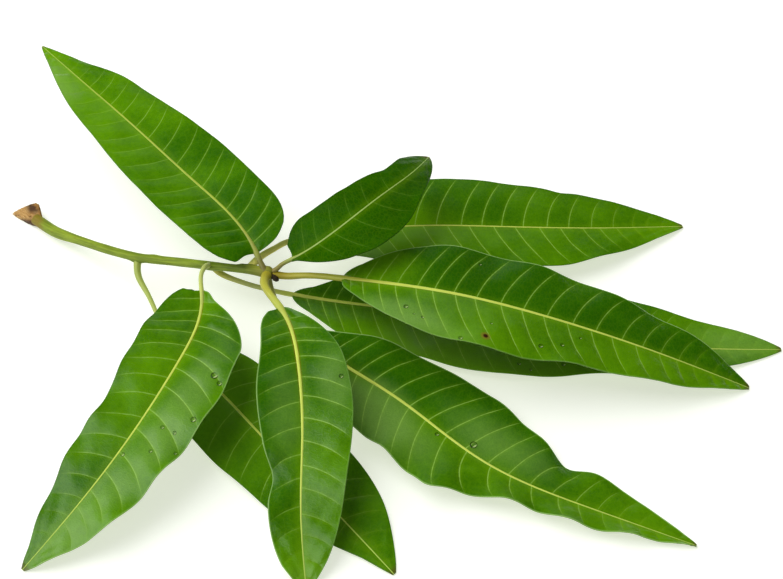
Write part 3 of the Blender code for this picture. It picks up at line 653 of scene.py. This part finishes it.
def stalk_and_rib(leaf, random):
    """The stalk and the midrib as one tube, sunk in the twig at its start.

    Its section is a circle on the stalk.  Over the first part of the blade it turns into two half ellipses, a
    low one above and a deeper one below.
    """
    route, start, length = leaf_route(leaf)
    on_stalk = np.linspace(0, 1, STALK_ROWS, endpoint=False)
    on_rib = np.linspace(0, 1, RIB_ROWS)**1.15 * BLADE_END
    at = np.r_[on_stalk * start, start + (1 - start) * on_rib]
    centre, forward, _, _ = along_route(route, at)
    rib_left = rib_frame(leaf, on_rib)[2]
    stalk_forward = forward[:STALK_ROWS]
    stalk_left = rib_left[:1] - stalk_forward * (stalk_forward @ rib_left[0])[:, None]
    left = np.concatenate([unit(stalk_left), rib_left])
    up = np.cross(forward, left)

    radius = leaf["radius"]
    on_stalk_radius = radius * (0.9 + leaf["swell"] * (1 - on_stalk)**2.5 + 0.08 * on_stalk**6)
    narrowing = leaf["slim"] * (1 - on_rib)**30 + (1 - leaf["slim"]) * (1 - on_rib)**0.95
    on_rib_radius = RIB_END_RADIUS + (0.98 * radius - RIB_END_RADIUS) * narrowing
    wide = np.r_[on_stalk_radius, on_rib_radius]
    lumps = sum(np.sin(at * length / step + random.uniform(0, 6)) for step in (1.1, 2.3, 3.9))
    wide = wide * (1 + 0.012 * lumps)
    share = np.r_[on_stalk * 0, ease(on_rib, 0, RIB_BLEND)]
    above = wide * (1 - share) + (BLADE_THICKNESS / 2 + RIB_ABOVE * wide) * share
    below = wide * (1 - share) + (BLADE_THICKNESS / 2 + RIB_BELOW * wide) * share
    angle = circle(STALK_COLUMNS, 0.5)
    across = np.cos(angle) * wide[:, None]
    height = np.sin(angle) * np.where(np.sin(angle) > 0, above[:, None], below[:, None])
    rings = centre[:, None] + across[..., None] * left[:, None] + height[..., None] * up[:, None]
    along = np.r_[on_stalk, 1 + on_rib]
    stalk = stacked(along[:, None], angle / (2 * np.pi), (at * length)[:, None])
    return dict(rings=rings, face=np.full(STALK_COLUMNS, 2), stalk=stalk)


def twig_body(random):
    """The twig: a tube whose radius runs smoothly through the given ones and closes round its end.

    Low ridges run along it.  At each cushion it swells on one side, by a bell curve along its length.
    """
    route, marks, length = even_route((*TWIG_ROUTE, TWIG_END))
    at = np.r_[np.linspace(0, marks[-2], TWIG_ROWS, endpoint=False),
               marks[-2] + (1 - marks[-2]) * np.sin(np.linspace(0, np.pi / 2, TWIG_END_ROWS))]
    centre, _, left, up = along_route(route, at)
    radius = smooth(marks[:-1], TWIG_RADIUS, np.minimum(at, marks[-2]))[:, 0]
    closing = np.clip((at - marks[-2]) / (1 - marks[-2]), 0, 0.9995)
    radius *= np.sqrt(1 - closing**2)
    angle = circle(TWIG_COLUMNS, 0.5)
    outward = spokes(angle, left, up)
    mm = (at * length)[:, None]
    ridges = 0.018 * np.sin(5 * angle + mm / 13) + 0.012 * np.sin(11 * angle - mm / 9)
    lumps = sum(np.sin(mm / step + turns * angle + random.uniform(0, 6))
                for step, turns in ((2.1, 2), (3.7, 1), (6.3, 3)))
    radius = radius[:, None] * (1 + ridges + 0.01 * lumps)
    for x, direction, height, half_length in TWIG_CUSHIONS:
        facing = np.clip(outward @ unit(np.array(direction)), 0, 1)**2
        radius = radius + height * facing * np.exp(-((centre[:, :1] - x) / half_length)**2)
    rings = centre[:, None] + outward * radius[..., None]
    stalk = stacked(at[:, None], angle / (2 * np.pi), mm)
    return dict(rings=rings, stalk=stalk)


def heel_planes():
    """The flat faces round the heel's corners, as outward normals and distances from its middle."""
    corners = np.array(HEEL_CORNERS, float) - HEEL_MIDDLE
    planes = []
    for a, b, c in combinations(corners, 3):
        normal = np.cross(b - a, c - a)
        if np.linalg.norm(normal) < 1e-6:
            continue
        normal = unit(normal)
        normal = normal * np.sign(normal @ a)
        if (corners @ normal).max() < normal @ a + 1e-6:
            planes.append((*normal, normal @ a))
    return np.unique(np.round(planes, 6), axis=0)


def heel_directions():
    """Directions along the heel's grain, to its side and up from both."""
    grain = unit(HEEL_GRAIN)
    side = unit(np.cross(grain, (0, 0, 1)))
    return grain, side, np.cross(side, grain)


def heel_body(random):
    """The torn heel: a body with softened edges inside its corners' flat faces, furrowed along the grain.

    Its distance from the middle is (sum of (n.d / h)^p)^(-1/p) over the faces in front of direction d, with h
    each face's distance.  Furrows cut into it by sines of the place across the grain.
    """
    planes = heel_planes()
    grain, side, rise = heel_directions()
    polar = np.linspace(0.004, np.pi - 0.004, HEEL_ROWS)[:, None]
    around = circle(HEEL_COLUMNS)[None]
    direction = (np.cos(polar)[..., None] * grain + (np.sin(polar) * np.cos(around))[..., None] * side
                 + (np.sin(polar) * np.sin(around))[..., None] * rise)
    slopes = np.clip(direction @ planes[:, :3].T / planes[:, 3], 0, None)
    distance = (slopes**HEEL_SHARPNESS).sum(axis=-1)**(-1 / HEEL_SHARPNESS)
    points = direction * distance[..., None]
    x, y = points @ side, points @ rise
    furrow = sum(np.sin(x * fx + y * fy + random.uniform(0, 6))
                 for fx, fy in ((3.1, 1.7), (5.3, -2.9), (8.1, 4.3), (1.3, 6.1)))
    depth = FURROW * (furrow + 2) * ease(points @ grain, -2.5, 1.5)
    distance = distance - np.clip(depth, 0, DEEPEST_FURROW)
    return dict(rings=direction * distance[..., None] + HEEL_MIDDLE)


def splinters(random):
    """Thin fibres that stand out of the torn face, each a narrowing tube along the grain."""
    grain, side, rise = heel_directions()
    bodies = []
    t = np.linspace(0, 1, SPLINTER_ROWS)[:, None, None]
    angle = circle(SPLINTER_COLUMNS)[None, :, None]
    for number in range(SHORT_SPLINTERS + LONG_SPLINTERS):
        bend = random.normal(0, 0.35, 2)
        thick = random.uniform(0.16, 0.34)
        if number < SHORT_SPLINTERS:
            x, y = random.uniform(-3.2, 3.2), random.uniform(-1.6, 2.4)
            line = HEEL_MIDDLE + grain * random.uniform(4.5, 8) * t
            line = line + side * (x * (1 - 0.45 * t) + bend[0] * t**2)
            line = line + rise * (y * (1 - 0.5 * t) + bend[1] * t**2)
        else:
            start, end = np.array(HEEL_POINT) + random.uniform(-0.5, 0.5, (2, 3)) * (1, 1, 0.4)
            line = start + (end - start) * t
        line[..., 2] = np.maximum(line[..., 2], thick + 0.05)
        outward = (np.cos(angle) * side + np.sin(angle) * rise) * thick * (1 - t)**0.6
        bodies.append(dict(rings=line + outward))
    return bodies


def bud_body():
    """The end bud: a pointed tube with the edges of its scales standing out in a spiral."""
    route, marks, _ = even_route(BUD_ROUTE)
    at = np.linspace(0, 1, BUD_ROWS)
    centre, _, left, up = along_route(route, at)
    angle = circle(BUD_COLUMNS)
    radius = smooth(marks, BUD_RADIUS, at) * (1 - 0.9 * ease(at, 0.9, 1))[:, None]
    scales = (at[:, None] * 3.2 + angle / (2 * np.pi)) % 1
    radius = radius * (0.86 + 0.14 * (1 - scales)**1.5)
    outward = spokes(angle, left, up)
    return dict(rings=centre[:, None] + outward * radius[..., None])


def drop_body(leaf, half, s, u, radius, blade):
    """A water drop on its leaf's upper face: the upper half of a flat ellipsoid, with a shallower one below.

    It stores how far each point is from the middle, from 0 to 1, and how far towards DROP_GLINT it lies.
    """
    columns = blade["face"].searchsorted(1)
    points = blade["rings"][:, :columns]
    along, across = np.moveaxis(blade["blade"][:, :columns, :2], -1, 0)
    sought = on_blade(leaf, half, s, u)
    i, j = np.unravel_index(np.hypot(along - sought[0], across - sought[1]).argmin(), along.shape)
    i, j = min(max(i, 2), len(points) - 3), min(max(j, 1), columns - 4)
    here = points[i, j]
    forward = unit(points[i + 2, j] - points[i - 2, j])
    normal = unit(np.cross(forward, points[i, j + 1] - points[i, j - 1])) * (1 - 2 * half)
    side = np.cross(normal, forward)
    polar = np.linspace(0.01, np.pi - 0.01, DROP_ROWS)[:, None]
    around = circle(DROP_COLUMNS)[None]
    height = np.where(np.cos(polar) > 0, 0.5 * radius, 0.15) * np.cos(polar)
    flat = np.sin(polar)
    outward = (flat * np.cos(around))[..., None] * forward + (flat * np.sin(around))[..., None] * side
    rings = here + outward * radius + (height + 0 * around)[..., None] * normal
    return dict(rings=rings, stalk=stacked(flat, outward @ unit(np.array(DROP_GLINT)), 0))


def ring_faces(rows, columns):
    """Quads between neighbouring rings of a closed tube, and strips that close its two ends."""
    i, j = np.meshgrid(np.arange(rows - 1), np.arange(columns), indexing="ij")
    a, b = i * columns + j, i * columns + (j + 1) % columns
    quads = np.stack([a, b, b + columns, a + columns], axis=-1).reshape(-1, 4)
    j = np.arange((columns - 1) // 2)
    near = np.stack([j + 1, j, columns - 1 - j, columns - 2 - j], axis=-1)
    far = near[:, ::-1] + (rows - 1) * columns
    return np.concatenate([quads, near, far])


def add_object(name, data):
    """A new object in the scene."""
    item = bpy.data.objects.new(name, data)
    bpy.context.scene.collection.objects.link(item)
    return item


def make_piece(name, bodies, materials, stands_for=None):
    """One mesh object of closed bodies, riding on the sprig, with its points in metres.

    A body has rings of points and, where needed, the material number of each column and values at its points.
    """
    points, polygons, numbers = [], [], []
    for body in bodies:
        rows, columns = body["rings"].shape[:2]
        flat = (body["rings"].reshape(-1, 3) - FOOTPRINT_MIDDLE) * MM
        faces = ring_faces(rows, columns)
        a, b, c, d = (flat[faces[:, k]] for k in range(4))
        if np.einsum("ij,ij->", a, np.cross(b, c) + np.cross(c, d)) < 0:
            faces = faces[:, ::-1]
        faces = (faces + len(points)).tolist()
        polygons += [[face[k] for k in range(4) if face[k] != face[k - 1]] for face in faces]
        material = body.get("face", np.zeros(columns, int))
        numbers += [*np.tile(material, rows - 1), *[material[-1]] * (len(faces) - (rows - 1) * columns)]
        points += flat.tolist()
    mesh = bpy.data.meshes.new(name)
    mesh.from_pydata(points, [], polygons)
    for material in materials:
        mesh.materials.append(material)
    mesh.polygons.foreach_set("material_index", np.array(numbers, np.int32))
    mesh.validate()
    mesh.shade_smooth()
    for key, (kind, field, width) in STORED.items():
        stored = [body[key].ravel() if key in body else np.full(body["rings"].size // 3 * width, UNSET)
                  for body in bodies]
        layer = mesh.attributes.new(key, kind, "POINT")
        layer.data.foreach_set(field, np.concatenate(stored).astype(np.float32))
    piece = add_object(name, mesh)
    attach(piece, BODY)
    if stands_for:
        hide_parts(stands_for)
    return piece


def upper_face(name, leaf, number, spot=None):
    """Glossy upper face: clouded green, a faint net, pale side veins that fade outwards, and a thin margin,
    pale with a painted highlight on some leaves and darker on others.

    The leaf's entry places patches of brighter and deeper green, several of which paint light into parts in
    shade, and pale clouds of painted sheen.  A spot is given by its place
    along and across the blade: brown with a tan ring.
    """
    paint = Paint(name)
    along, across, from_vein = paint.parts(paint.attribute("blade", "Vector"))
    from_margin = paint.attribute("margin")
    reach = abs(across)
    on_left = paint.fade(across, -0.5, 0.5)

    length = blade_length(leaf)

    def by_half(values):
        return on_left * (values[0] - values[1]) + values[1]

    place = paint.vector(along, across, 41 * number)
    clouds = paint.noise(place, 0.035)
    mottle = paint.noise(place, 0.5, 4, 0.6)
    grain = paint.noise(place, 1.9, 3, 0.7)
    net = paint.near(paint.cells(paint.stretch(place, (1, 0.62, 1)), 0.75), 0.02, 0.16)
    fine_net = paint.near(paint.cells(place, 2.1), 0.02, 0.2)
    broken = paint.fade(paint.noise(place, 0.9, 2), 0.3, 0.6, 0.55, 1)
    ending = paint.fade(from_margin + mottle * 4, 2.5, 9, 0.25, 1)
    line = paint.near(from_vein, 0.08, 0.34) * broken * ending * by_half(leaf["veins"])
    line = line * paint.fade(along, 0.5 * length, 0.95 * length, 1, 0.4)
    beside_vein = paint.near(from_vein, 0.2, 1.8) * ending
    beside_rib = paint.near(reach, 0.8, 4)

    def cloud(x, y, half_x, half_y, strength):
        place_in_cloud = paint.vector(along / half_x, across / half_y, 0)
        away = paint.distance(place_in_cloud, (x / half_x, y / half_y, 0))
        return paint.near(away + (clouds - 0.5) * 1.2, 0.2, 1.2, strength)

    # Tone of each half and along the blade, which also paints light and shade on some halves and base ends
    share = by_half(leaf["tone"]) + (along / length - 0.5) * leaf["tone"][2]
    share = share + (clouds - 0.5) * 1.1 + (mottle - 0.5) * 0.45 + (grain - 0.5) * 0.4
    # Patches of brighter green, deeper below 0; several paint light into parts in the shade of other leaves
    for patch in leaf["fresh_and_fill_light"]:
        share = share + cloud(*patch)
    paint.base = paint.mix(paint.fade(share, 0, 1), DEEP_GREEN, FRESH_GREEN)
    paint.coat(paint.near(share, -0.9, 0.2, 0.75), DARK_GREEN)
    lighter = net * 0.045 + fine_net * 0.035 + beside_vein * by_half(leaf["veins"]) * 0.15 + beside_rib * 0.1
    paint.coat(lighter, LIGHT_GREEN)
    # Pale clouds of painted sheen; a few also paint light into parts that lie in shade
    for patch in leaf["painted_sheen"]:
        paint.coat(cloud(*patch) * (grain * 0.8 + 0.6), SHEEN_GREEN)
    paint.coat(line, VEIN_GREEN)
    # Brown beside the midrib: the rib's own golden-brown edge, and on one side a painted shadow line under
    # the raised rib
    if "rib_brown_and_shade" in leaf:
        beside = paint.near(reach, 0.7, 1.5) * paint.near(along, 8, 62)
        paint.coat(beside * by_half(leaf["rib_brown_and_shade"]), RIB_EDGE_AND_SHADE_BROWN)
    # Along the margin: pale above 0 is a painted highlight where the edge catches the light, and darker below
    # 0
    edge = paint.near(from_margin, 0.1, 0.7)
    pale, dark = ([max(sign * value, 0) for value in leaf["edges"]] for sign in (1, -1))
    paint.coat(edge * by_half(pale), MARGIN_HIGHLIGHT_GREEN)
    paint.coat(edge * by_half(dark), MARGIN_DARK)
    paint.coat(paint.fade(along, length - 4.5, length - 1.5) * 0.7, TIP_BROWN)
    if spot:
        from_spot = paint.distance(paint.vector(along, across, mottle * 1.6), (*spot, 0.8))
        paint.coat(paint.near(from_spot, 1.5, 2.4, 0.7), SPOT_TAN)
        paint.coat(paint.near(from_spot, 0.7, 1.3), SPOT_BROWN)
    height = net * 0.35 + fine_net * 0.2 + mottle * 0.5 + grain * 0.3 - line * 0.6
    roughness = 0.13 + mottle * 0.06 + line * 0.1
    return paint.finish(roughness, (height, 0.0001, 0.7), Specular_IOR_Level=leaf["shine"])


def under_face(name, number):
    """Dull, paler underside with its veins and net standing out."""
    paint = Paint(name)
    along, across, from_vein = paint.parts(paint.attribute("blade", "Vector"))
    place = paint.vector(along, across, 41 * number + 7)
    mottle = paint.noise(place, 0.4, 4, 0.6)
    net = paint.near(paint.cells(paint.stretch(place, (1, 0.62, 1)), 0.75), 0.02, 0.14)
    line = paint.near(from_vein, 0.2, 0.5, 0.9)
    paint.base = paint.mix(mottle, UNDER_GREEN, colour(UNDER_GREEN, 0.85))
    paint.coat((net * 0.4).most(line), UNDER_VEIN)
    height = net * 0.8 + mottle * 0.4 + line
    return paint.finish(0.55 + mottle * 0.1, (height, 0.0002, 0.8))


def stalk_skin(name, leaf, number):
    """Smooth skin of stalk and midrib: three colours along the stalk, then the midrib's, and fine streaks."""
    paint = Paint(name)
    along, around, mm = paint.parts(paint.attribute("stalk", "Vector"))
    streaks = paint.noise(paint.vector(mm * 0.12, around * 14, 13 * number), 1, 4, 0.6)
    dots = paint.noise(paint.vector(mm, around * 9, 5 * number), 1.4, 2)
    at_twig, half_way, at_blade = leaf["skin"]
    paint.base = paint.mix(paint.fade(along, 0.05, 0.5), at_twig, half_way)
    paint.coat(paint.fade(along, 0.5, 1), at_blade)
    paint.coat(paint.fade(along, 1, 1.15), leaf["rib_colour"])
    paint.coat(paint.fade(along, 1.55, 2) * 0.5, VEIN_GREEN)
    dark = colour(half_way, 0.62)
    paint.coat(paint.fade(streaks, 0.45, 0.75) * 0.3, dark)
    paint.coat(paint.fade(dots, 0.66, 0.74) * 0.25, dark)
    return paint.finish(0.36 + streaks * 0.15, (streaks + dots * 0.5, 0.00012, 0.7))


def bark_skin():
    """Smooth olive bark with fine lengthwise streaks and small corky specks, brown towards the torn heel, and
    painted shadow round the end bud.
    """
    paint = Paint("olive_bark")
    _, around, mm = paint.parts(paint.attribute("stalk", "Vector"))
    place = paint.place()
    x = paint.parts(place)[0]
    streaks = paint.noise(paint.vector(mm * 0.09, around * 16, 0), 1, 5, 0.6)
    clouds = paint.noise(place, 60)
    specks = paint.noise(paint.vector(mm * 0.6, around * 11, 4), 1.6, 2)
    paint.base = paint.mix(paint.fade(streaks + (clouds - 0.5) * 0.7, 0.3, 0.75), BARK_OLIVE, BARK_LIGHT)
    specked = paint.fade(specks, 0.68, 0.74) * 0.5
    paint.coat(specked, BARK_BROWN)
    near_heel = paint.near(x + (streaks - 0.5) * 0.008, *HEEL_BARK)
    paint.coat(near_heel * 0.7, BARK_BROWN)
    near_node = paint.fade(x, *NODE_BARK)
    paint.coat(near_node * 0.45, NODE_OLIVE)
    # Painted shadow on the twig round the end bud
    from_bud_shadow = paint.distance(place, BUD_SHADOW_MIDDLE)
    paint.coat(paint.near(from_bud_shadow + (clouds - 0.5) * 0.002, *BUD_SHADE, 0.9), BUD_AND_SHADOW_BROWN)
    height = streaks + specked * 0.8 + clouds * 0.5
    return paint.finish(0.55 + streaks * 0.15, (height, 0.0002, 0.8), IOR=1.4)


def torn_wood():
    """Torn wood and bark of the heel: pale and tan fibres along the grain, darker brown towards its low front
    and round a knob whose top is tan.
    """
    paint = Paint("torn_heel_wood")
    place = paint.place()
    turned = paint.node("ShaderNodeMapping", None, {"Vector": place, "Rotation": (0, 0, 0.7)})
    fibres = paint.noise(paint.stretch(turned, (0.22, 1, 1)), 1500, 5, 0.65)
    patches = paint.noise(place, 330)
    x, y, z = paint.parts(place)
    torn = paint.fade(x * -0.76 + y * 0.64 + (patches - 0.5) * 0.005, *TORN_ZONE)
    paint.base = paint.mix(paint.fade(patches, 0.35, 0.65), BARK_BROWN, TORN_TAN)
    wood = paint.mix(paint.fade(fibres, 0.3, 0.7), TORN_TAN, TORN_PALE)
    wood = paint.mix(paint.fade(patches, 0.56, 0.7) * 0.7, wood, TORN_BROWN)
    paint.coat(torn, wood)
    low_front = y * 0.75 + z * 0.65 + (patches - 0.5) * 0.003
    paint.coat(paint.near(low_front, *DARK_FRONT, 0.95), TORN_BROWN)
    from_knob = paint.distance(place, HEEL_KNOB) + (patches - 0.5) * 0.003
    paint.coat(paint.near(from_knob, *KNOB_ZONE, 0.95), TORN_BROWN)
    paint.coat(paint.fade(z + (patches - 0.5) * 0.001, *KNOB_TOP, 0, 0.8), TORN_TAN)
    height = fibres + patches * 0.6
    return paint.finish(0.7 + fibres * 0.15, (height, 0.0004, 1))


def bud_skin():
    """Dull dark brown scales with paler dusty edges."""
    paint = Paint("bud_scales")
    grain = paint.noise(paint.place(), 2600, 4, 0.6)
    paint.base = paint.mix(paint.fade(grain, 0.4, 0.8), BUD_AND_SHADOW_BROWN, BUD_PALE)
    return paint.finish(0.65 + grain * 0.15, (grain, 0.0002, 0.8))


def clear_water():
    """Clear water: nearly unseen in the middle, with a dark rim of painted shade and a bright crescent away
    from the light, a painted highlight.
    """
    paint = Paint("water")
    from_middle, towards_glint, _ = paint.parts(paint.attribute("stalk", "Vector"))
    rim = paint.fade(from_middle, 0.68, 0.9)
    crescent = paint.fade(towards_glint, 0.35, 0.62) * paint.near(from_middle, 0.8, 0.98)
    paint.base = paint.mix(crescent, DROP_RIM_SHADE, DROP_CRESCENT_HIGHLIGHT)
    return paint.finish(0.03, IOR=1.33, Alpha=(rim * 0.75).most(crescent * 0.8) + 0.06)


def add_floor():
    """A plain pale floor under the sprig."""
    paint = Paint("pale_floor")
    grain = paint.noise(paint.place(), 3, 2)
    paint.base = paint.mix(grain, FLOOR_WHITE, colour(FLOOR_WHITE, 0.99))
    material = paint.finish(0.8, IOR=1.5, Emission_Color=FLOOR_GLOW, Emission_Strength=1)
    mesh = bpy.data.meshes.new("floor")
    square = [(FLOOR_HALF * x, FLOOR_HALF * y, 0) for x, y in ((-1, -1), (1, -1), (1, 1), (-1, 1))]
    mesh.from_pydata(square, [], [(0, 1, 2, 3)])
    mesh.materials.append(material)
    add_object("floor", mesh)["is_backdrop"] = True


def add_light(name, place, aim, size, power, shines):
    """A soft rectangular light, turned to its aim, that either lights things or shines in glossy ones."""
    data = bpy.data.lights.new(name, "AREA")
    data.shape = "RECTANGLE"
    data.size, data.size_y = size
    data.energy = power
    light = add_object(name, data)
    light.location = place
    direction = np.array(aim, float) - np.array(place, float)
    light.rotation_euler = Vector(direction).to_track_quat("-Z", "Y").to_euler()
    light.visible_glossy = shines
    light.visible_diffuse = not shines


def add_stage():
    """Floor, soft light from above and behind, an even pale sky, and the camera."""
    add_floor()
    for light in LIGHTS:
        add_light(*light)
    world = bpy.data.worlds.new("pale_sky")
    world.use_nodes = True
    sky = world.node_tree.nodes["Background"]
    sky.inputs["Color"].default_value = SKY_COLOUR
    sky.inputs["Strength"].default_value = SKY_STRENGTH
    world.cycles_visibility.glossy = False
    bpy.context.scene.world = world
    data = bpy.data.cameras.new("camera")
    data.lens = CAMERA_LENS
    data.sensor_width = 36
    camera = add_object("camera", data)
    camera.location = CAMERA_PLACE
    camera.rotation_euler = (np.radians(90 - CAMERA_ELEVATION), 0, 0)
    bpy.context.scene.camera = camera
    bpy.context.scene.view_settings.view_transform = "Standard"


def make_leaves():
    """Each leaf as one mesh, and the drops on all of them as another."""
    drops = []
    for number, (node, own) in enumerate(LEAVES.items()):
        leaf = {**PLAIN_LEAF, **own}
        random = np.random.default_rng(100 + number)
        halves = [half_blade(leaf, 0, random), half_blade(leaf, 1, random)]
        spot = on_blade(leaf, *SPOT[1:]) if SPOT[0] == node else None
        materials = [upper_face(f"{node}_upper", leaf, number, spot), under_face(f"{node}_under", number),
                     stalk_skin(f"{node}_stalk", leaf, number)]
        make_piece(f"mango_{node}", [*halves, stalk_and_rib(leaf, random)], materials, node)
        drops += [drop_body(leaf, *drop, halves[drop[0]]) for drop in DROPS.get(node, ())]
    make_piece("water_drops", drops, [clear_water()])


def make_twig():
    """The twig, its torn heel with splinters, and the end bud."""
    random = np.random.default_rng(7)
    make_piece("mango_twig", [twig_body(random)], [bark_skin()], "twig")
    make_piece("mango_torn_heel", [heel_body(random), *splinters(random)], [torn_wood()])
    make_piece("mango_end_bud", [bud_body()], [bud_skin()], "terminal_bud")


def corners():
    """Lowest and highest corner of what is shown, as plain lists."""
    return [list(corner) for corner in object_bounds()]


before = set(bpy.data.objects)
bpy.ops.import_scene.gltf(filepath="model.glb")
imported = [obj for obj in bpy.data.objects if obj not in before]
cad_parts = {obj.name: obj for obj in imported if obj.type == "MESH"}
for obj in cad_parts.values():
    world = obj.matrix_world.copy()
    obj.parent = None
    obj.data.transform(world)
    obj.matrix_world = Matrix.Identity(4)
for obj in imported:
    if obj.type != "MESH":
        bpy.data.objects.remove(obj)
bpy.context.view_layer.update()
add_stage()
make_leaves()
make_twig()
